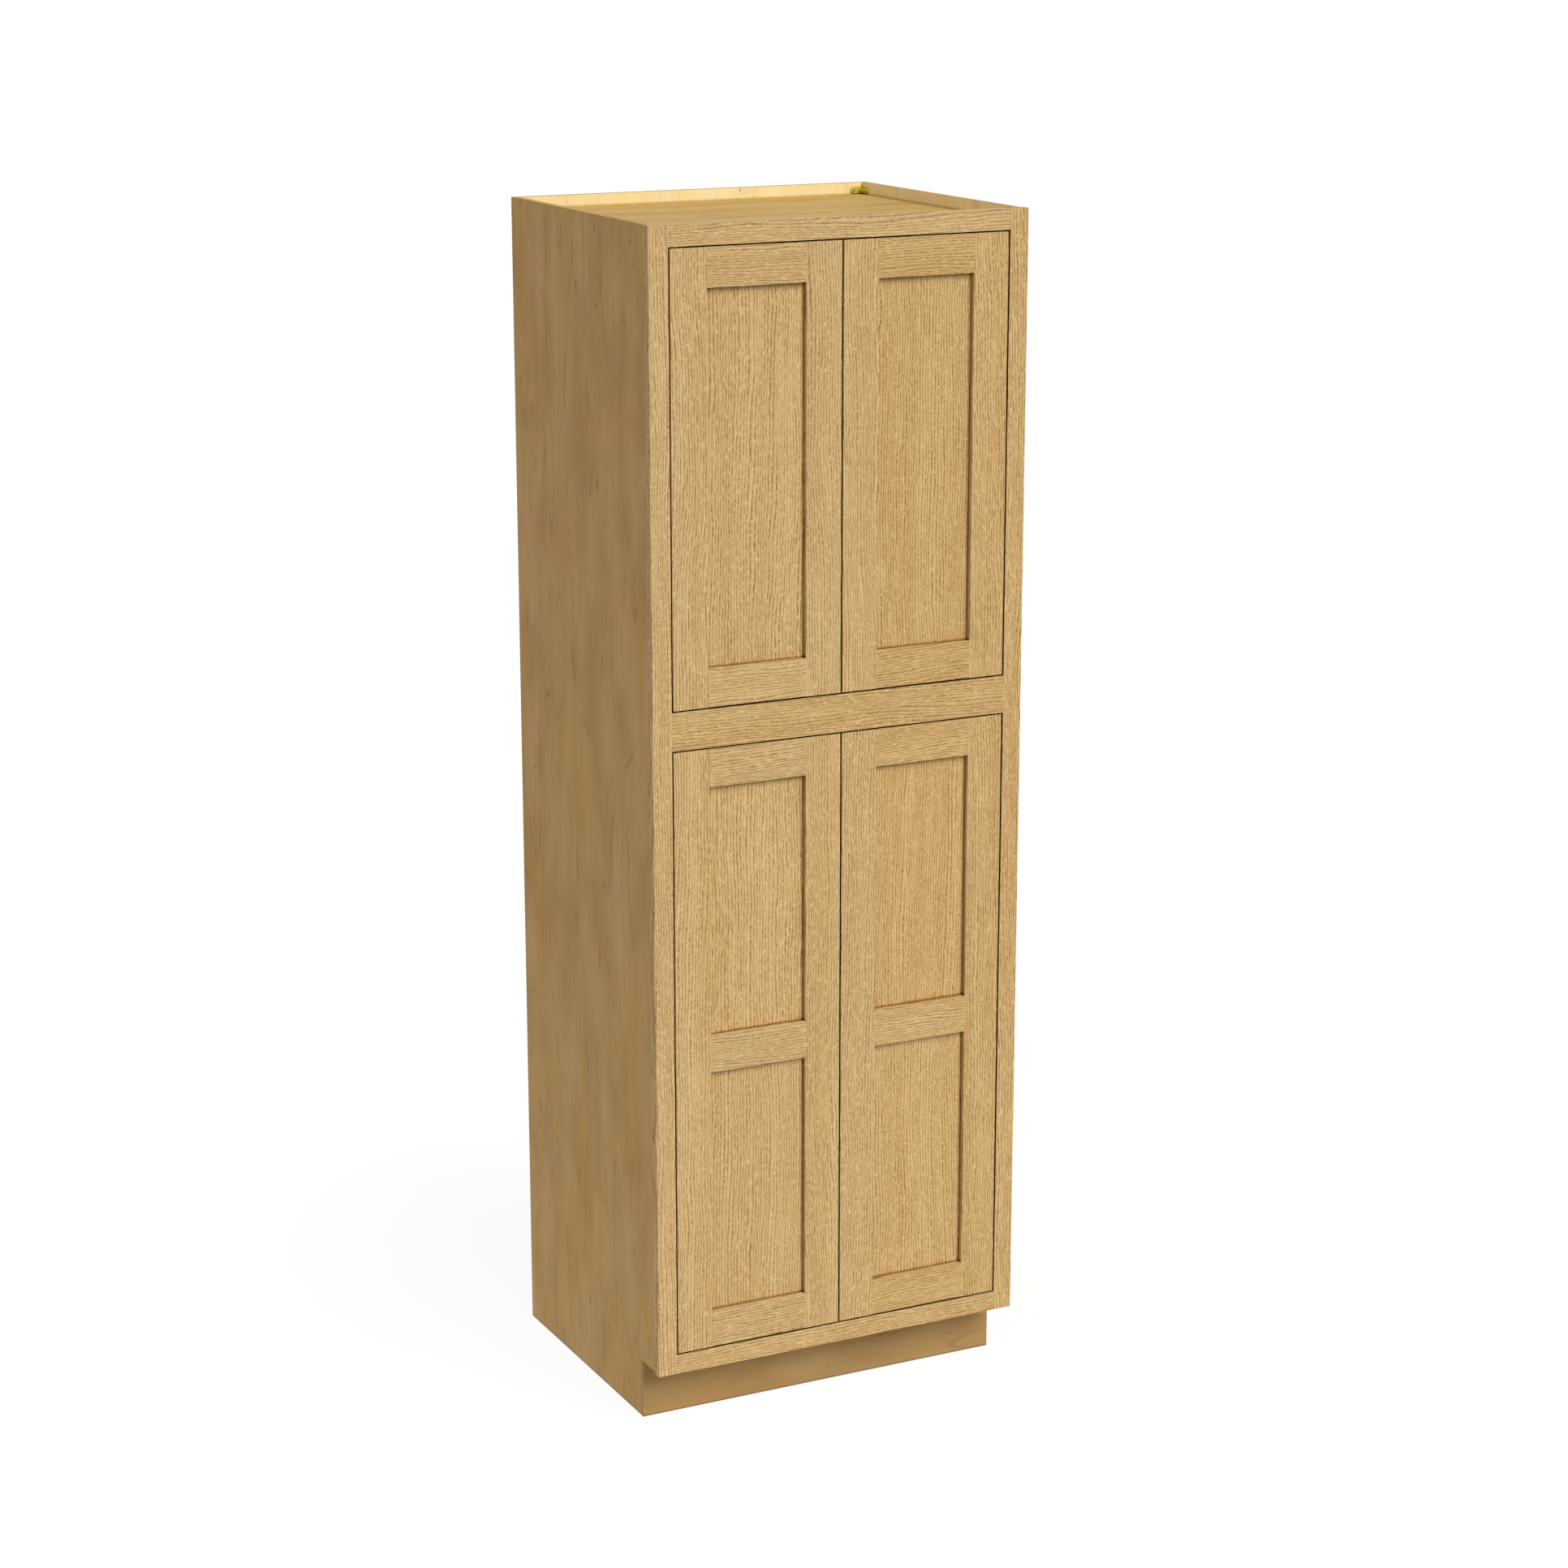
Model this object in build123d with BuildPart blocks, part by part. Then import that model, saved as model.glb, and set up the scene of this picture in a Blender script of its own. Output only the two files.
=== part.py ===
# Tall pantry cabinet: a plywood box, an oak face frame and four flush doors on hidden pivots.
# Millimetres, +Z up, the front faces -Y, the origin is the middle of the footprint on the floor.
import os

from build123d import *

# Overall sizes
frame_width = 762.0
cabinet_height = 2260.6
box_depth = 609.6
toe_height = 114.3
toe_setback = 82.55

# Face frame
frame_thickness = 19.05
frame_overhang = 4.76
frame_stile_width = 38.1
frame_rail_width = 38.1
frame_middle_rail_width = 71.4
lower_opening_height = 1168.4
frame_tenon_length = 12.0
frame_tenon_thickness = 6.35
frame_tenon_shoulder = 6.0

# Plywood box
side_thickness = 12.7
back_thickness = 12.7
deck_thickness = 12.7
toe_board_thickness = 12.7
dado_depth = 6.35
top_recess = 22.2

# Loose shelves and their pins
shelf_thickness = 19.05
shelf_side_clearance = 1.5
shelf_back_clearance = 3.0
shelf_front_setback = 30.0
pin_diameter = 5.0
pin_clearance = 0.05
pin_depth = 9.0
pin_reach = 11.0
pin_hole_extra_depth = 1.0
pin_row_inset = 60.0

# Doors
door_gap = 2.8
door_thickness = 19.05
door_member_width = 71.4
panel_recess = 11.1
panel_thickness = 5.2
groove_depth = 10.0
panel_clearance = 1.0
edge_ease = 0.8

# Pivots that carry the doors, hidden in the gaps above and below them
pivot_edge_inset = 12.0
pivot_face_inset = 6.0
pivot_diameter = 5.0
pivot_running_clearance = 0.05
pivot_length_in_frame = 12.0
pivot_length_in_door = 25.0
bushing_diameter = 9.0
bushing_depth = 14.0
bushing_clearance = 0.3

# Magnetic catches behind the lower edge of each pair of doors, and their strike plates
catch_length = 58.0
catch_depth = 16.0
catch_height = 13.0
catch_corner = 3.0
strike_width = 18.0
strike_height = 12.0
strike_thickness = 1.2
strike_corner = 2.0
strike_meeting_inset = 5.0
strike_lift = 1.0
catch_gap = 0.3

# Corner braces in the recess above the top panel
brace_leg = 26.0
brace_height = 11.0
brace_plate_thickness = 3.0
brace_web_thickness = 3.0
brace_web_reach = 15.0
brace_screw_diameter = 4.0
brace_drop = 9.0

# Places that follow from the sizes
cabinet_depth = box_depth + frame_thickness
front = -cabinet_depth / 2
box_front = front + frame_thickness
box_back = cabinet_depth / 2
back_front = box_back - back_thickness
box_half = frame_width / 2 - frame_overhang
inner_half = box_half - side_thickness
opening_half = frame_width / 2 - frame_stile_width
toe_front = front + toe_setback
toe_back = toe_front + toe_board_thickness
lower_opening_low = toe_height + frame_rail_width
lower_opening_high = lower_opening_low + lower_opening_height
upper_opening_low = lower_opening_high + frame_middle_rail_width
upper_opening_high = cabinet_height - frame_rail_width
deck_span = (lower_opening_low - deck_thickness, lower_opening_low)
fixed_shelf_span = (upper_opening_low - deck_thickness, upper_opening_low)
top_span = (cabinet_height - top_recess - deck_thickness, cabinet_height - top_recess)
dado_spans = [deck_span, fixed_shelf_span, top_span]
openings = {
    "lower": (lower_opening_low, lower_opening_high),
    "upper": (upper_opening_low, upper_opening_high),
}
sides = {"left": -1, "right": 1}

os.makedirs("parts", exist_ok=True)


def save(piece, name):
    piece.part.label = name
    export_step(piece.part, f"parts/{name}.step")


def block(x, y, z, mode=Mode.ADD):
    """A board, or a cut, between two x values, two y values and two z values."""
    with Locations((sum(x) / 2, sum(y) / 2, sum(z) / 2)):
        Box(abs(x[1] - x[0]), abs(y[1] - y[0]), abs(z[1] - z[0]), mode=mode)


# Loose shelves share each space evenly, and every shelf stands on four pins
def shelf_levels(low, high, count):
    pitch = (high - low) / (count + 1)
    return [low + pitch * (i + 1) for i in range(count)]


loose_shelves_in_a_space = 2
shelf_spaces = {
    "lower": (deck_span[1], fixed_shelf_span[0]),
    "upper": (fixed_shelf_span[1], top_span[0]),
}
shelves = {
    f"{space}_shelf_{i + 1}": level
    for space, (low, high) in shelf_spaces.items()
    for i, level in enumerate(shelf_levels(low, high, loose_shelves_in_a_space))
}
pin_rows = (box_front + shelf_front_setback + pin_row_inset, back_front - pin_row_inset)
pin_radius = pin_diameter / 2 - pin_clearance
pin_levels = [level - pin_radius for level in shelves.values()]


# Side panels, with the toe notch, dadoes, a rabbet for the back and shelf pin holes
def side_panel(side):
    outer = side * box_half
    inner = side * inner_half
    dado = (inner, inner + side * dado_depth)
    with BuildPart() as panel:
        with BuildSketch(Plane.YZ.offset(min(outer, inner))):
            with BuildLine():
                Polyline(
                    (box_front, toe_height),
                    (toe_back, toe_height),
                    (toe_back, 0),
                    (box_back, 0),
                    (box_back, cabinet_height),
                    (box_front, cabinet_height),
                    close=True,
                )
            make_face()
        extrude(amount=side_thickness)
        for span in dado_spans:
            block(dado, (box_front, back_front), span, Mode.SUBTRACT)
        block(dado, (back_front, box_back), (0, cabinet_height), Mode.SUBTRACT)
        for y in pin_rows:
            for level in pin_levels:
                with Locations(Plane(origin=(inner, y, level), z_dir=(-side, 0, 0))):
                    Hole(pin_diameter / 2, depth=pin_depth + pin_hole_extra_depth)
    return panel


for hand, side in sides.items():
    save(side_panel(side), f"{hand}_side_panel")

# Boards of the box
housed_half = inner_half + dado_depth
with BuildPart() as back_panel:
    block((-housed_half, housed_half), (back_front, box_back), (0, cabinet_height))
save(back_panel, "back_panel")

for name, span in zip(("bottom_panel", "fixed_shelf", "top_panel"), dado_spans):
    with BuildPart() as housed_board:
        block((-housed_half, housed_half), (box_front, back_front), span)
    save(housed_board, name)

with BuildPart() as toe_board:
    block((-box_half, box_half), (toe_front, toe_back), (0, toe_height))
save(toe_board, "toe_board")

# Loose shelves
shelf_half = inner_half - shelf_side_clearance
for name, level in shelves.items():
    with BuildPart() as loose_shelf:
        block(
            (-shelf_half, shelf_half),
            (box_front + shelf_front_setback, back_front - shelf_back_clearance),
            (level, level + shelf_thickness),
        )
    save(loose_shelf, name)

# Shelf pins: pegs that stand out of the side panels under the shelves
with BuildPart() as shelf_pins:
    for side in sides.values():
        for y in pin_rows:
            for level in pin_levels:
                peg_end = side * (inner_half + pin_depth)
                with BuildSketch(Plane(origin=(peg_end, y, level), z_dir=(-side, 0, 0))):
                    Circle(pin_radius)
                extrude(amount=pin_depth + pin_reach)
save(shelf_pins, "shelf_pins")


# Corner braces: two rounded plates at a right angle, with a web across the corner
brace_middle = cabinet_height - brace_drop - brace_height / 2
brace_straight = brace_leg - brace_height / 2


def corner_brace(side):
    """A brace in a rear corner, with one leg on the back panel and one on the side panel."""
    with BuildPart() as brace:
        corner = (side * inner_half, back_front, brace_middle)
        wall_plate = Plane(origin=corner, x_dir=(-side, 0, 0), z_dir=(0, -1, 0))
        side_plate = Plane(origin=corner, x_dir=(0, -1, 0), z_dir=(-side, 0, 0))
        for plate in (wall_plate, side_plate):
            with BuildSketch(plate):
                with Locations((brace_straight / 2, 0)):
                    Rectangle(brace_straight, brace_height)
                with Locations((brace_straight, 0)):
                    Circle(brace_height / 2)
                    Circle(brace_screw_diameter / 2, mode=Mode.SUBTRACT)
            extrude(amount=brace_plate_thickness)
        with BuildSketch(Plane(origin=corner)):
            with BuildLine():
                Polyline((0, 0), (-side * brace_web_reach, 0), (0, -brace_web_reach), close=True)
            make_face()
        extrude(amount=brace_web_thickness / 2, both=True)
    return brace


for hand, side in sides.items():
    save(corner_brace(side), f"{hand}_corner_brace")


# Face frame: stiles run full height and take the rails' tenons
frame_rails = {
    "bottom": (toe_height, lower_opening_low),
    "middle": (lower_opening_high, upper_opening_low),
    "top": (upper_opening_high, cabinet_height),
}
frame_tenon_y = (
    front + (frame_thickness - frame_tenon_thickness) / 2,
    front + (frame_thickness + frame_tenon_thickness) / 2,
)


def tenon_span(rail):
    return (rail[0] + frame_tenon_shoulder, rail[1] - frame_tenon_shoulder)


for hand, side in sides.items():
    with BuildPart() as frame_stile:
        block((side * opening_half, side * frame_width / 2), (front, box_front), (toe_height, cabinet_height))
        for rail in frame_rails.values():
            mortise = (side * opening_half, side * (opening_half + frame_tenon_length))
            block(mortise, frame_tenon_y, tenon_span(rail), Mode.SUBTRACT)
        upright_front_edges = frame_stile.edges().filter_by(Axis.Z).group_by(Axis.Y)[0]
        chamfer(upright_front_edges.sort_by(Axis.X)[0 if side < 0 else -1], edge_ease)
    save(frame_stile, f"frame_{hand}_stile")

# Door pivots stand on one axis for each side, a little in from the door's edge and face
pivot_x = opening_half - door_gap - pivot_edge_inset
pivot_y = front + pivot_face_inset
bushing_seats = {
    "bottom": [(lower_opening_low, 1)],
    "middle": [(lower_opening_high, -1), (upper_opening_low, 1)],
    "top": [(upper_opening_high, -1)],
}


def pivot_plane(side, level, direction):
    return Plane(origin=(side * pivot_x, pivot_y, level), z_dir=(0, 0, direction))


for name, rail in frame_rails.items():
    tenon_half = opening_half + frame_tenon_length
    with BuildPart() as frame_rail:
        block((-opening_half, opening_half), (front, box_front), rail)
        block((-tenon_half, tenon_half), frame_tenon_y, tenon_span(rail))
        for level, direction in bushing_seats[name]:
            with Locations(*[pivot_plane(side, level, direction) for side in sides.values()]):
                Hole(bushing_diameter / 2 + pivot_running_clearance, depth=bushing_depth)
    save(frame_rail, f"frame_{name}_rail")

# Bushings: sleeves in the rails that stand proud of them by nearly the door gap
with BuildPart() as pivot_bushings:
    for seats in bushing_seats.values():
        for level, direction in seats:
            for side in sides.values():
                proud_end = level + direction * (door_gap - bushing_clearance)
                with BuildSketch(pivot_plane(side, proud_end, direction)):
                    Circle(bushing_diameter / 2)
                    Circle(pivot_diameter / 2 + pivot_running_clearance, mode=Mode.SUBTRACT)
                extrude(amount=bushing_clearance - door_gap - bushing_depth)
save(pivot_bushings, "pivot_bushings")

# Magnetic catches stand on the bottom panel and on the fixed shelf
catch_front = front + door_thickness + strike_thickness + catch_gap
for name, (low, high) in openings.items():
    with BuildPart() as magnetic_catch:
        with BuildSketch(Plane.XY.offset(low)):
            with Locations((0, catch_front + catch_depth / 2)):
                Rectangle(catch_length, catch_depth)
                chamfer(vertices(), catch_corner)
        extrude(amount=catch_height)
    save(magnetic_catch, f"{name}_magnetic_catch")

# Doors
panel_y = (front + panel_recess, front + panel_recess + panel_thickness)


def door_stile(edge, to_inside, span, pivots=()):
    """A stile from its eased outer edge, with a full-length groove and bores for pivots in its ends."""
    inner = edge + to_inside * door_member_width
    with BuildPart() as stile:
        block((edge, inner), (front, front + door_thickness), span)
        block((inner - to_inside * groove_depth, inner), panel_y, span, Mode.SUBTRACT)
        upright_front_edges = stile.edges().filter_by(Axis.Z).group_by(Axis.Y)[0]
        chamfer(upright_front_edges.sort_by(Axis.X)[0 if to_inside > 0 else -1], edge_ease)
        for plane in pivots:
            with Locations(plane):
                Hole(pivot_diameter / 2 + pivot_running_clearance, depth=pivot_length_in_door)
    return stile


def door_rail(shoulders, span, grooved):
    """A rail with stub tenons, grooved on its lower and upper edges as told and eased on the other."""
    low_groove = groove_depth if grooved[0] else 0
    high_groove = groove_depth if grooved[1] else 0
    tenons = (shoulders[0] - groove_depth, shoulders[1] + groove_depth)
    core = (span[0] + low_groove, span[1] - high_groove)
    with BuildPart() as rail:
        block(shoulders, (front, front + door_thickness), span)
        if low_groove:
            block(shoulders, panel_y, (span[0], core[0]), Mode.SUBTRACT)
        if high_groove:
            block(shoulders, panel_y, (core[1], span[1]), Mode.SUBTRACT)
        block(tenons, panel_y, core)
        level_front_edges = rail.edges().filter_by(Axis.X).group_by(Axis.Y)[0].sort_by(Axis.Z)
        if not low_groove:
            chamfer(level_front_edges[0], edge_ease)
        if not high_groove:
            chamfer(level_front_edges[-1], edge_ease)
    return rail


def door_panel(shoulders, span):
    reach = groove_depth - panel_clearance
    with BuildPart() as panel:
        block((shoulders[0] - reach, shoulders[1] + reach), panel_y, (span[0] - reach, span[1] + reach))
    return panel


def door_pivots(side, low, high):
    """A straight pin in the bottom and in the top of the hinge stile."""
    with BuildPart() as pivots:
        for level, direction in ((low, -1), (high, 1)):
            pin_end = level + direction * (door_gap + pivot_length_in_frame)
            with BuildSketch(pivot_plane(side, pin_end, direction)):
                Circle(pivot_diameter / 2)
            extrude(amount=-pivot_length_in_frame - door_gap - pivot_length_in_door)
    return pivots


def strike_plate(side, opening_low):
    door_back = front + door_thickness
    meeting_edge = side * (door_gap / 2 + strike_meeting_inset)
    middle_z = opening_low + door_gap + strike_lift + strike_height / 2
    centre = (meeting_edge + side * strike_width / 2, door_back, middle_z)
    with BuildPart() as strike:
        with BuildSketch(Plane(origin=centre, x_dir=(1, 0, 0), z_dir=(0, 1, 0))):
            Rectangle(strike_width, strike_height)
            chamfer(vertices(), strike_corner)
        extrude(amount=strike_thickness)
    return strike


for level_name, (opening_low, opening_high) in openings.items():
    low = opening_low + door_gap
    high = opening_high - door_gap
    middle = (low + high) / 2
    bottom_rail = (low, low + door_member_width)
    middle_rail = (middle - door_member_width / 2, middle + door_member_width / 2)
    top_rail = (high - door_member_width, high)
    if level_name == "lower":
        rails = {"bottom": bottom_rail, "middle": middle_rail, "top": top_rail}
        panels = {"lower_panel": (bottom_rail[1], middle_rail[0]), "upper_panel": (middle_rail[1], top_rail[0])}
    else:
        rails = {"bottom": bottom_rail, "top": top_rail}
        panels = {"panel": (bottom_rail[1], top_rail[0])}
    for hand, side in sides.items():
        door = f"{level_name}_{hand}_door"
        hinge_edge = side * (opening_half - door_gap)
        meeting_edge = side * door_gap / 2
        pivot_seats = [pivot_plane(side, low, -1), pivot_plane(side, high, 1)]
        save(door_stile(hinge_edge, -side, (low, high), pivot_seats), f"{door}_hinge_stile")
        save(door_stile(meeting_edge, side, (low, high)), f"{door}_meeting_stile")
        shoulders = sorted((hinge_edge - side * door_member_width, meeting_edge + side * door_member_width))
        for rail_name, span in rails.items():
            grooved = (rail_name != "bottom", rail_name != "top")
            save(door_rail(shoulders, span, grooved), f"{door}_{rail_name}_rail")
        for panel_name, span in panels.items():
            save(door_panel(shoulders, span), f"{door}_{panel_name}")
        save(door_pivots(side, low, high), f"{door}_pivot_pins")
        save(strike_plate(side, opening_low), f"{door}_strike_plate")
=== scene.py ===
# %% [markdown]
# # A tall oak pantry cabinet
# This lesson dresses a finished cabinet model: a plywood box, an oak face frame and four flush doors. The
# boards already have their true shape, so most of the work is in their finish. Oak is made once, as a
# shared group of shader nodes that behaves like a solid log, and each board is cut from another part.

# %% Load the cabinet
import math
import random

import bmesh
import bpy
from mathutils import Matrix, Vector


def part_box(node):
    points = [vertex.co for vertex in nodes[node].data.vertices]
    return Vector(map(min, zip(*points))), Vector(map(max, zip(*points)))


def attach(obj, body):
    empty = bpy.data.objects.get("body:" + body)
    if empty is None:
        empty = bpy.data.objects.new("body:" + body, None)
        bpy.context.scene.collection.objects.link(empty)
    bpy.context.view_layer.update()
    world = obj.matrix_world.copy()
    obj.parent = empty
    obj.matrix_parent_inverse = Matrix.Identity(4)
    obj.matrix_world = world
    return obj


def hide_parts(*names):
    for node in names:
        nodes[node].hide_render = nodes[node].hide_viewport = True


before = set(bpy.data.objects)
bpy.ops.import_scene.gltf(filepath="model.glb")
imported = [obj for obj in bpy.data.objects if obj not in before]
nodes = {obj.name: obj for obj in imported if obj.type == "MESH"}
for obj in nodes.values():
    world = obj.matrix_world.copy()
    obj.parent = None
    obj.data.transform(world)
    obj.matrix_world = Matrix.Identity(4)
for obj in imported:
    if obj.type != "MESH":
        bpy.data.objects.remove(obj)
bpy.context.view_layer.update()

# %% [markdown]
# ## Camera
# The photograph looks at the cabinet's front from its left, from a little above its top, with a long
# lens. A camera could be set by eye. This one was solved from the cabinet's straight edges, so it needs
# no shift and no roll. Angles are in degrees, the lens and the sensor in millimetres.

# %% Set the camera
camera_place = (-2.9235, -5.9004, 2.8537)
camera_pitch_down = 14.514
camera_turn_right = 26.668
camera_lens = 80.97
sensor_width = 36.0
farthest_seen = 200.0

camera_data = bpy.data.cameras.new("photo camera")
camera_data.lens = camera_lens
camera_data.sensor_width = sensor_width
camera_data.clip_end = farthest_seen
camera = bpy.data.objects.new("photo camera", camera_data)
camera.location = camera_place
camera.rotation_euler = (math.radians(90 - camera_pitch_down), 0, math.radians(-camera_turn_right))
bpy.context.scene.collection.objects.link(camera)
bpy.context.scene.camera = camera
print("camera at", camera_place, "lens", camera_lens, "mm")

# %% [markdown]
# ## Node helpers
# A shader or geometry tree is many small nodes and links, and setting each one would bury the idea. A few
# helpers keep a step to one line: the first places a node and fills its inputs, by value or by link, and
# the others do arithmetic, noise and mixing.

# %% Helpers for node trees
def add_node(tree, kind, inputs=None, **settings):
    """A new node with its settings and inputs; an input that is a socket is linked, a value is set."""
    made = tree.nodes.new(kind)
    for name, value in settings.items():
        setattr(made, name, value)
    for key, value in (inputs or {}).items():
        if isinstance(value, bpy.types.NodeSocket):
            tree.links.new(value, made.inputs[key])
        else:
            made.inputs[key].default_value = value
    return made


def math_node(tree, operation, first, second=0.0, third=0.0):
    """One step of arithmetic on up to three numbers."""
    values = {0: first, 1: second, 2: third}
    return add_node(tree, "ShaderNodeMath", values, operation=operation).outputs[0]


def scaled(tree, vector, factors):
    """The vector with each axis multiplied, to stretch a pattern along the grain."""
    values = {0: vector, 1: factors}
    return add_node(tree, "ShaderNodeVectorMath", values, operation="MULTIPLY").outputs[0]


def noise(tree, vector, cycles, detail=2.0):
    """Smooth noise with so many cycles per metre along x, y and z."""
    inputs = {"Vector": scaled(tree, vector, cycles), "Scale": 1.0, "Detail": detail}
    return add_node(tree, "ShaderNodeTexNoise", inputs).outputs[0]


def remap(tree, value, low, high, to_low=0.0, to_high=1.0):
    """A soft step from one value to another between low and high."""
    inputs = {"Value": value, "From Min": low, "From Max": high, "To Min": to_low, "To Max": to_high}
    return add_node(tree, "ShaderNodeMapRange", inputs, interpolation_type="SMOOTHSTEP").outputs[0]


def mix_color(tree, factor, first, second, blend="MIX"):
    """The first colour with a share of the second."""
    made = tree.nodes.new("ShaderNodeMix")
    made.data_type = "RGBA"
    made.blend_type = blend
    for socket, value in ((made.inputs[0], factor), (made.inputs[6], first), (made.inputs[7], second)):
        if isinstance(value, bpy.types.NodeSocket):
            tree.links.new(value, socket)
        else:
            socket.default_value = value
    return made.outputs[2]


def tone(red, green, blue):
    """A colour as it looks on a screen, 0 to 255, in the linear values that shaders use."""
    parts = [c / 255 for c in (red, green, blue)]
    return tuple(c / 12.92 if c <= 0.04045 else ((c + 0.055) / 1.055) ** 2.4 for c in parts) + (1.0,)


print("node helpers ready")

# %% [markdown]
# ## Floor, background and light
# The cabinet stands in a white studio. For the camera and for reflections the world is plain white. For
# light it is a dim pale room that is brighter on the left, where a white wall would fill the shade. More
# lamps could do that, but a world that leans is even and has no edges.

# %% White world
room_light = 0.33
room_lean = 0.8
room_color = (1.0, 0.985, 0.96, 1.0)
pure_white = (1.0, 1.0, 1.0, 1.0)


def seen_directly(tree):
    """1 for camera, mirror and glass rays, 0 for rays that gather light."""
    path = add_node(tree, "ShaderNodeLightPath")
    mirror = math_node(tree, "MAXIMUM", path.outputs["Is Glossy Ray"], path.outputs["Is Transmission Ray"])
    return math_node(tree, "MAXIMUM", path.outputs["Is Camera Ray"], mirror)


world = bpy.data.worlds.new("white studio")
world.use_nodes = True
bpy.context.scene.world = world
sky = world.node_tree
sky.nodes.clear()
direction = add_node(sky, "ShaderNodeTexCoord").outputs["Generated"]
sideways = add_node(sky, "ShaderNodeSeparateXYZ", {0: direction}).outputs[0]
leaning = math_node(sky, "MULTIPLY_ADD", sideways, -room_light * room_lean, room_light)
room = add_node(sky, "ShaderNodeBackground", {"Color": room_color, "Strength": leaning})
white = add_node(sky, "ShaderNodeBackground", {"Color": pure_white, "Strength": 1.0})
either = {0: seen_directly(sky), 1: room.outputs[0], 2: white.outputs[0]}
picked = add_node(sky, "ShaderNodeMixShader", either)
add_node(sky, "ShaderNodeOutputWorld", {"Surface": picked.outputs[0]})
print("room light", room_light, "leaning", room_lean, "to the left")

# %% [markdown]
# The floor is one large sheet. To the camera it is plain white, with a small share of a real matt surface
# near the cabinet, so that it keeps the soft shadow. For rays that gather light it is an evenly lit white
# sheet that fades to the left. A lit sheet gives the toe board and the shaded side their light from below
# without a lamp.

# %% Floor
floor_half = 90.0
shadow_share = 0.12
shadow_near = 0.6
shadow_far = 2.2
matt_white = (0.9, 0.9, 0.9, 1.0)
glow_strength = 1.04
sheet_color = (1.0, 0.99, 0.97, 1.0)
sheet_light = 0.5
sheet_light_left = 0.3
fade_left = -3.2
fade_right = -0.9

floor_paint = bpy.data.materials.new("white floor")
floor_paint.use_nodes = True
tree = floor_paint.node_tree
tree.nodes.clear()
place = add_node(tree, "ShaderNodeTexCoord").outputs["Object"]
reach = add_node(tree, "ShaderNodeVectorMath", {0: place}, operation="LENGTH").outputs["Value"]
matt = add_node(tree, "ShaderNodeBsdfDiffuse", {"Color": matt_white})
glow = add_node(tree, "ShaderNodeEmission", {"Color": pure_white, "Strength": glow_strength})
flat_white = remap(tree, reach, shadow_near, shadow_far, 1.0 - shadow_share, 1.0)
look = add_node(tree, "ShaderNodeMixShader", {0: flat_white, 1: matt.outputs[0], 2: glow.outputs[0]})
place_x = add_node(tree, "ShaderNodeSeparateXYZ", {0: place}).outputs[0]
sheet_level = remap(tree, place_x, fade_left, fade_right, sheet_light_left, sheet_light)
sheet = add_node(tree, "ShaderNodeEmission", {"Color": sheet_color, "Strength": sheet_level})
either = {0: seen_directly(tree), 1: sheet.outputs[0], 2: look.outputs[0]}
blend = add_node(tree, "ShaderNodeMixShader", either)
add_node(tree, "ShaderNodeOutputMaterial", {"Surface": blend.outputs[0]})
floor_paint.cycles.emission_sampling = "NONE"

floor_mesh = bpy.data.meshes.new("floor")
corners = [(x * floor_half, y * floor_half, 0) for x, y in ((-1, -1), (1, -1), (1, 1), (-1, 1))]
floor_mesh.from_pydata(corners, [], [(0, 1, 2, 3)])
floor_mesh.materials.append(floor_paint)
floor = bpy.data.objects.new("floor", floor_mesh)
bpy.context.scene.collection.objects.link(floor)
print("floor half width", floor_half, "m")

# %% [markdown]
# The key light stands in front of the cabinet, a little to its right and above it. A lamp close by would
# fade from top to bottom on so tall a piece, so a sun is used. It is broad, which leaves a soft brown
# shade under each rail and beside the right stile of each recess. The Standard view shows colours as they
# are written.

# %% Key light
key_right = 14.0
key_above = 40.0
key_softness = 38.0
key_level = 0.79

key = bpy.data.lights.new("key light", "SUN")
key.energy = math.pi * key_level
key.angle = math.radians(key_softness)
key_holder = bpy.data.objects.new("key light", key)
key_holder.rotation_euler = (math.radians(90 - key_above), 0, math.radians(key_right))
bpy.context.scene.collection.objects.link(key_holder)
bpy.context.scene.view_settings.view_transform = "Standard"
print("key light", key_right, "degrees to the right and", key_above, "above")

# %% [markdown]
# ## Oak
# Red oak is ring porous: each year starts with a band of large open pores, which the cut opens into short
# dark dashes along the grain, and ends with denser, paler wood. An image would repeat and would not
# follow the board round its edges, so the wood is solid here: rings about a pith line, bent by slow
# waves. The point that goes in has z along the grain, x across the board and y into it, and every noise
# is sized in cycles per metre along these three.

# %% Rings of the log
slow_cycles = (7, 7, 2.6)
slow_reach = 0.035
quick_cycles = (70, 70, 26)
quick_reach = 0.004
ring_drift_cycles = (30, 30, 0.8)
ring_drift = 3.0
early_starts = (0.0, 0.12)
early_ends = (0.75, 0.15)


def new_group(name, kind, inputs, outputs):
    """An empty node group with the named input and output sockets."""
    group = bpy.data.node_groups.new(name, kind)
    for direction, sockets in (("INPUT", inputs), ("OUTPUT", outputs)):
        for socket_name, socket_type in sockets.items():
            group.interface.new_socket(socket_name, in_out=direction, socket_type=socket_type)
    return group


def sway(tree, point, cycles, reach):
    """A sideways bend of the grain, by up to half the reach each way."""
    wave = math_node(tree, "SUBTRACT", noise(tree, point, cycles), 0.5)
    return math_node(tree, "MULTIPLY", wave, reach)


oak = new_group(
    "oak",
    "ShaderNodeTree",
    {
        "Board Point": "NodeSocketVector",
        "Ring Width": "NodeSocketFloat",
        "Long Grain": "NodeSocketFloat",
        "Pore Share": "NodeSocketFloat",
    },
    {"Color": "NodeSocketColor", "Roughness": "NodeSocketFloat", "Height": "NodeSocketFloat"},
)
given = add_node(oak, "NodeGroupInput")
point = given.outputs["Board Point"]
axes = add_node(oak, "ShaderNodeSeparateXYZ", {0: point})

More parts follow.
